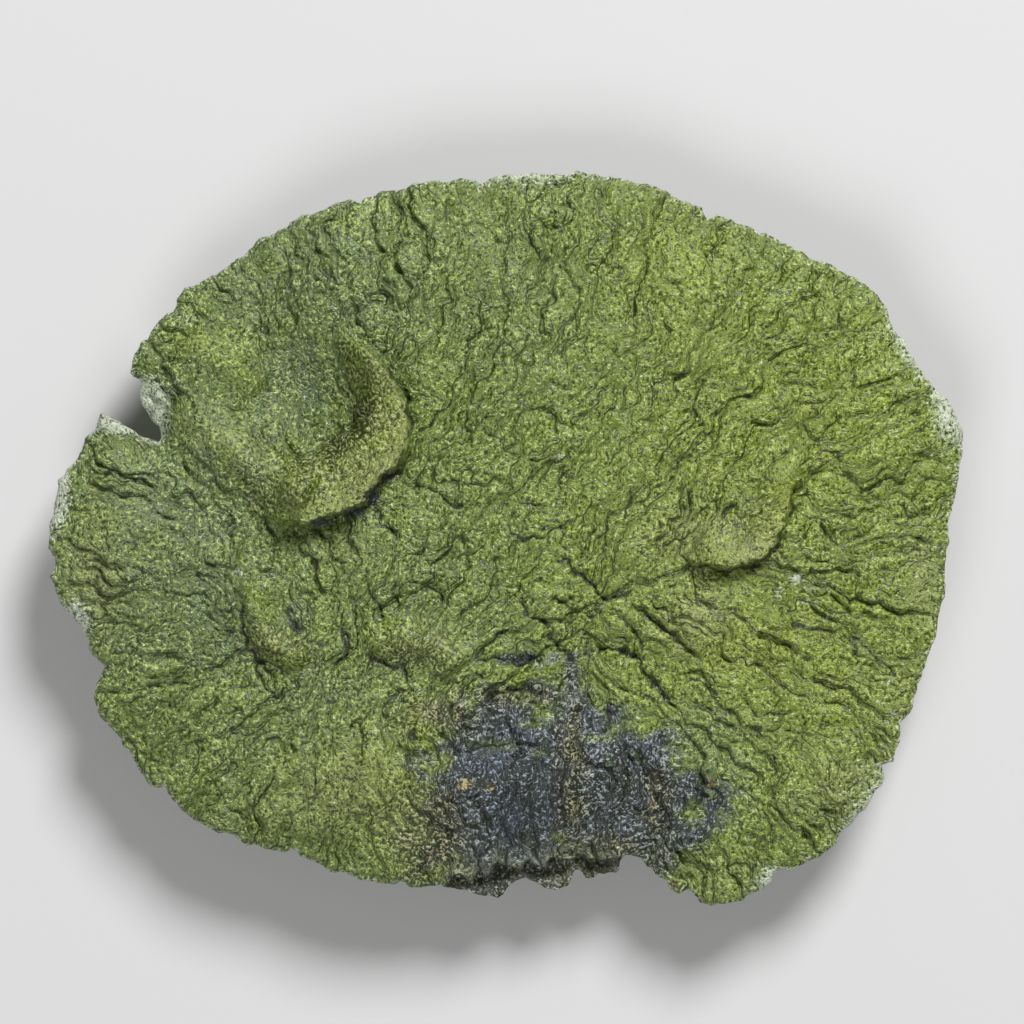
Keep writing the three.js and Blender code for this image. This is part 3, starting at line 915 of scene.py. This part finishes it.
def make_stone():
    """The stone, carved out of the blank, with its colours and finishes as attributes."""
    stone = make_blank()
    stone.name = "moldavite_stone"
    mesh = stone.data
    points = np.empty(len(mesh.vertices) * 3)
    mesh.vertices.foreach_get("co", points)
    x, y, z = points.reshape(-1, 3).T.copy()
    level = np.clip((z / BLANK_THICKNESS - LOWER_EDGE) / (UPPER_EDGE - LOWER_EDGE), 0, 1)

    edge, _, _ = along_path(x, y, OUTLINE + OUTLINE[:1])
    relief = swell_height(x, y, FACE_SWELLS)
    ridge = add_ridges(x, y, relief)
    ridge, painted_edge_glow, wall_shade = add_lips(x, y, relief, ridge)
    creases = crumple_creases(x, y)
    wrinkles, marks = crumple_relief(x, y, creases, ridge)
    cracks, crack_shade_lines = crack_relief(x, y)
    above, span, ledge = fringe_and_ledge(x, y)
    z = carved_height(x, y, level, edge, relief, wrinkles, cracks, ledge)
    jag_x = JAG * noise(x / JAG_SIZE, y / JAG_SIZE + z, JAG_SEEDS[0])
    jag_y = JAG * noise(x / JAG_SIZE, y / JAG_SIZE + z, JAG_SEEDS[1])
    points = np.column_stack([x + jag_x, y + jag_y, z]) * MM
    mesh.vertices.foreach_set("co", points.ravel())

    ragged = layered(x, y, RAGGED)
    mottle = 0.5 + layered(x, y, MOTTLE)
    slate = smooth((spots(x, y, SLATE) - SLATE_FROM + SLATE_RAGGED * ragged) / SLATE_EDGE)
    slate *= 1 - spots(x, y, GREEN_SHEEN)
    speckled = spots(x, y, SPECKLED) * (1 + SPECKLED_RAGGED * ragged) * level
    rusty = smooth((spots(x, y, RUST) * (1 + ragged) * level - RUST_FROM) / RUST_EDGE)

    # Painted light: the ridges and lip crests take the sunny green
    sunny = np.maximum(spots(x, y, SUNNY), RIDGE_PAINTED_LIGHT * ridge) + SUNNY_RAGGED * ragged
    cool = spots(x, y, COOL) * (1 + COOL_RAGGED * ragged) * level
    dim = MOTTLE_SHARE * smooth((MOTTLE_DARK - mottle) / MOTTLE_EDGE) + spots(x, y, DIM)
    # Painted glow on the lips' thin edges, together with the pale patches
    pale = np.maximum(GLOW_SHARE * painted_edge_glow, spots(x, y, PALE)) * level
    bluish = smooth((mottle - BLUE_FROM) / BLUE_EDGE)
    fringe = span * level * np.exp(-np.maximum(-above, 0) / FRINGE_WIDTH) * (1 - ledge)
    # Painted shadow on the ledge just under the fringe
    painted_shadow_under_fringe = np.exp(-np.maximum(above, 0) / LEDGE_SHADE)
    dark_rock = hump((x - DARK_ROCK) / DARK_ROCK_REACH)
    tint = lay(DEEP_GREEN, SUNNY_GREEN, sunny)
    tint = lay(tint, COOL_GREEN, cool)
    tint = lay(tint, MOTTLE_GREEN, dim)
    # Painted glow on the lips' edges, and the pale patches
    tint = lay(tint, GLOW_AND_PALE_GREEN, pale)
    tint = lay(tint, lay(SLATE_BLACK, SLATE_BLUE, bluish), slate * level)
    tint = lay(tint, SPECKLE_AND_SHADOW_BLACK, SPECKLED_DARK * speckled * np.maximum(slate, SPECKLED_GREEN))
    tint = lay(tint, FRINGE_GREY, FRINGE_SHARE * fringe)
    # Painted shade on the lips' inner walls
    tint = lay(tint, WALL_SHADE_GREEN, WALL_SHADE * wall_shade * level)
    tint = lay(tint, LEDGE_BROWN, LEDGE_SHARE * ledge)
    # Painted shadow under the fringe, and the dark rock at the left
    tint = lay(tint, SPECKLE_AND_SHADOW_BLACK, LEDGE_SHADOW_AND_DARK_ROCK * np.maximum(painted_shadow_under_fringe, dark_rock) * ledge)
    tint = lay(tint, RUST_BROWN, rusty)

    for name, values in zip(("red", "green", "blue"), tint.T):
        add_attribute(mesh, name, values)
    _, (_, _, middle_noise), _ = creases
    add_attribute(mesh, "strokes", 0.5 + middle_noise / STROKE_SPAN)
    # where the creases are, and how strong the painted shade lines along them are
    for name, (distance, _, _), mark in zip(CREASE_NAMES, creases, marks):
        add_attribute(mesh, name, 0.5 + distance / LINE_SPAN)
        add_attribute(mesh, name + "_strength", mark * np.maximum(level, BACK_MARKS))
    # Frost and painted glints along the rim and at some spots
    frost_and_glints = RIM_FROST_AND_GLINTS * np.exp(-edge / RIM_FROST_AND_GLINTS_WIDTH) + spots(x, y, FROST_AND_GLINTS)
    # painted shade line at the bottom of each crack
    add_attribute(mesh, "crack", crack_shade_lines * level)
    add_attribute(mesh, "polish", mottle)
    add_attribute(mesh, "frost_and_glints", frost_and_glints * (1 - ledge))
    add_attribute(mesh, "slate", np.maximum(slate * level, LEDGE_SLATE * ledge) * (1 - rusty))
    add_attribute(mesh, "speckled", np.maximum(speckled, rusty))
    mesh.update()

    triangles = 2 * len(mesh.polygons)
    if triangles > MOST_TRIANGLES:
        thin = stone.modifiers.new("thin out", "DECIMATE")
        thin.ratio = MOST_TRIANGLES / triangles
        bpy.ops.object.modifier_apply(modifier=thin.name)
    bpy.ops.object.shade_smooth()
    return stone


def glass_material():
    """Green glass, with painted shade lines along the creases and cracks, and grain, frost and
    painted glints over its colours.
    """
    material = bpy.data.materials.new("moldavite glass")
    material.use_nodes = True
    nodes = material.node_tree.nodes
    links = material.node_tree.links
    shader = nodes["Principled BSDF"]
    shader.inputs["IOR"].default_value = REFRACTION
    shader.inputs["Specular IOR Level"].default_value = SHINE
    shader.inputs["Transmission Weight"].default_value = TRANSMISSION

    def field(name):
        """One of the mesh's attributes, such as where it is frosted or has painted glints."""
        node = nodes.new("ShaderNodeAttribute")
        node.attribute_name = name
        return node.outputs["Fac"]

    def blend(factor, under, over):
        """Colour `over` laid on colour `under`, where factor says."""
        node = nodes.new("ShaderNodeMix")
        node.data_type = "RGBA"
        links.new(factor, node.inputs[0])
        colours = [socket for socket in node.inputs if socket.type == "RGBA"]
        for socket, value in zip(colours, (under, over)):
            if isinstance(value, tuple):
                socket.default_value = (*value, 1)
            else:
                links.new(value, socket)
        return next(socket for socket in node.outputs if socket.type == "RGBA")

    def maths(operation, first, second=0.0):
        """One step of arithmetic on two numbers or fields."""
        node = nodes.new("ShaderNodeMath")
        node.operation = operation
        for socket, value in zip(node.inputs, (first, second)):
            if isinstance(value, (int, float)):
                socket.default_value = value
            else:
                links.new(value, socket)
        return node.outputs[0]

    def ramp(value, low, high):
        """0 where the value is at low, 1 at high."""
        node = nodes.new("ShaderNodeMapRange")
        node.interpolation_type = "SMOOTHSTEP"
        node.inputs["From Min"].default_value = low
        node.inputs["From Max"].default_value = high
        links.new(value, node.inputs["Value"])
        return node.outputs["Result"]

    def line(name, width):
        """Thin painted shade lines along one size of crease, roughened by the grain."""
        off = maths("SUBTRACT", maths("ADD", field(name), wobble), 0.5)
        drawn = ramp(maths("ABSOLUTE", off), width, LINE_CORE * width)
        return maths("MULTIPLY", drawn, field(name + "_strength"))

    place = nodes.new("ShaderNodeVectorMath")
    place.operation = "MULTIPLY"
    place.inputs[1].default_value = [1 / (size * MM) for size in GRAIN_CELL]
    links.new(nodes.new("ShaderNodeTexCoord").outputs["Object"], place.inputs[0])
    drawn_out = nodes.new("ShaderNodeCombineXYZ")
    links.new(maths("MULTIPLY", field("strokes"), GRAIN_DRAW * STROKE_SPAN), drawn_out.inputs["Z"])
    along = nodes.new("ShaderNodeVectorMath")
    links.new(place.outputs[0], along.inputs[0])
    links.new(drawn_out.outputs[0], along.inputs[1])
    texture = nodes.new("ShaderNodeTexNoise")
    texture.inputs["Scale"].default_value = 1
    texture.inputs["Detail"].default_value = GRAIN_DETAIL
    texture.inputs["Roughness"].default_value = GRAIN_ROUGHNESS
    links.new(along.outputs[0], texture.inputs["Vector"])
    stir = maths("SUBTRACT", texture.outputs["Fac"], 0.5)
    wobble = maths("MULTIPLY", stir, LINE_WOBBLE)
    strong = maths("ADD", maths("MULTIPLY", field("speckled"), SPECKLED_GRAIN), PLAIN_GRAIN)
    strong = maths("ADD", maths("MULTIPLY", field("polish"), POLISHED_GRAIN), strong)
    grain = maths("MULTIPLY", stir, strong)
    fold = maths("ABSOLUTE", stir)
    # painted shade lines along the creases, and along the grain's fine folds
    furrows, wrinkles, crinkles = (line(*each) for each in zip(CREASE_NAMES, LINE_WIDTHS))
    creases = maths("MAXIMUM", furrows, wrinkles)
    creases = maths("MAXIMUM", creases, maths("MULTIPLY", crinkles, CRINKLE_DARK))
    creases = maths("MAXIMUM", creases, maths("MULTIPLY", ramp(fold, *FOLD_LINE), FOLD_DARK))
    # painted shade line at the bottom of each crack
    crack = ramp(maths("ADD", field("crack"), wobble), *CRACK_EDGE)
    # frost, and painted glints
    frost_and_glints = ramp(maths("ADD", field("frost_and_glints"), maths("MULTIPLY", stir, FROST_AND_GLINT_STIR)), *FROST_AND_GLINT_EDGE)

    tint = nodes.new("ShaderNodeCombineColor")
    for socket, name in zip(tint.inputs, ("red", "green", "blue")):
        links.new(field(name), socket)
    light = blend(field("slate"), LIGHT_GREEN, LIGHT_SLATE)
    light = blend(field("speckled"), light, LIGHT_GOLD)
    colour = tint.outputs["Color"]
    # grain, then painted shade along the creases and at the bottom of the cracks
    for strength, share, over in (
        (ramp(grain, *LIGHT_GRAIN), LIGHT_SHARE, light),
        (ramp(grain, *DARK_GRAIN), DARK_SHARE, GRAIN_BLACK),
        (creases, CREASE_SHADE_SHARE, CREASE_SHADE_BLACK),
        (crack, CRACK_SHADE_SHARE, CRACK_SHADE_BLACK),
    ):
        colour = blend(maths("MULTIPLY", strength, share), colour, over)
    # frost, and painted glints
    colour = blend(frost_and_glints, colour, FROST_AND_GLINT_WHITE)
    colour = blend(ramp(stir, *GLINT_EDGE), colour, GLINT_WHITE)
    links.new(colour, shader.inputs["Base Color"])

    polish = nodes.new("ShaderNodeMapRange")
    polish.inputs["To Min"].default_value = ROUGHEST
    polish.inputs["To Max"].default_value = SMOOTHEST
    links.new(field("polish"), polish.inputs["Value"])
    links.new(polish.outputs["Result"], shader.inputs["Roughness"])

    bump = nodes.new("ShaderNodeBump")
    bump.inputs["Strength"].default_value = BUMP_STRENGTH
    bump.inputs["Distance"].default_value = BUMP_HEIGHT * MM
    links.new(maths("ADD", stir, maths("MULTIPLY", fold, FOLD_BUMP)), bump.inputs["Height"])
    links.new(bump.outputs["Normal"], shader.inputs["Normal"])

    absorb = nodes.new("ShaderNodeVolumeAbsorption")
    absorb.inputs["Color"].default_value = (*ABSORBING_GREEN, 1)
    absorb.inputs["Density"].default_value = ABSORBING_DENSITY
    links.new(absorb.outputs["Volume"], nodes["Material Output"].inputs["Volume"])
    return material


def make_camera():
    """A camera that looks straight down on the stone."""
    low, high = (Vector(corner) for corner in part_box("moldavite"))
    middle = (low + high) / 2
    camera = bpy.data.objects.new("camera", bpy.data.cameras.new("camera"))
    bpy.context.collection.objects.link(camera)
    camera.data.lens = LENS
    camera.data.sensor_width = SENSOR
    camera.data.clip_start = NEAREST
    shift_x, shift_y = VIEW_SHIFT
    distance = VIEW_WIDTH * MM * camera.data.lens / camera.data.sensor_width
    camera.location = (middle.x + shift_x * MM, middle.y + shift_y * MM, RIM_HEIGHT * MM + distance)
    bpy.context.scene.camera = camera


def make_stage():
    """A pale floor, two soft lights and an even pale sky."""
    bpy.ops.object.select_all(action="DESELECT")
    bpy.ops.mesh.primitive_plane_add(size=FLOOR_SIZE, location=(0, 0, -FLOOR_DEPTH * MM))
    floor = bpy.context.object
    floor.name = "floor"
    material = bpy.data.materials.new("pale floor")
    material.use_nodes = True
    shader = material.node_tree.nodes["Principled BSDF"]
    shader.inputs["Base Color"].default_value = (*FLOOR_GREY, 1)
    shader.inputs["Roughness"].default_value = FLOOR_ROUGHNESS
    floor.data.materials.append(material)

    for name, place, size, power in LAMPS:
        light = bpy.data.lights.new(name, "AREA")
        light.shape = "DISK"
        light.size = size
        light.energy = power
        holder = bpy.data.objects.new(name, light)
        bpy.context.collection.objects.link(holder)
        holder.location = place
        holder.rotation_euler = (-Vector(place)).to_track_quat("-Z", "Y").to_euler()
    world = bpy.data.worlds.new("studio")
    bpy.context.scene.world = world
    world.use_nodes = True
    world.node_tree.nodes["Background"].inputs["Color"].default_value = (1, 1, 1, 1)
    world.node_tree.nodes["Background"].inputs["Strength"].default_value = SKY_STRENGTH


bpy.context.scene.view_settings.view_transform = "Standard"
make_camera()
make_stage()
stone = make_stone()
stone.data.materials.append(glass_material())
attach(stone, "root")
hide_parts("moldavite")
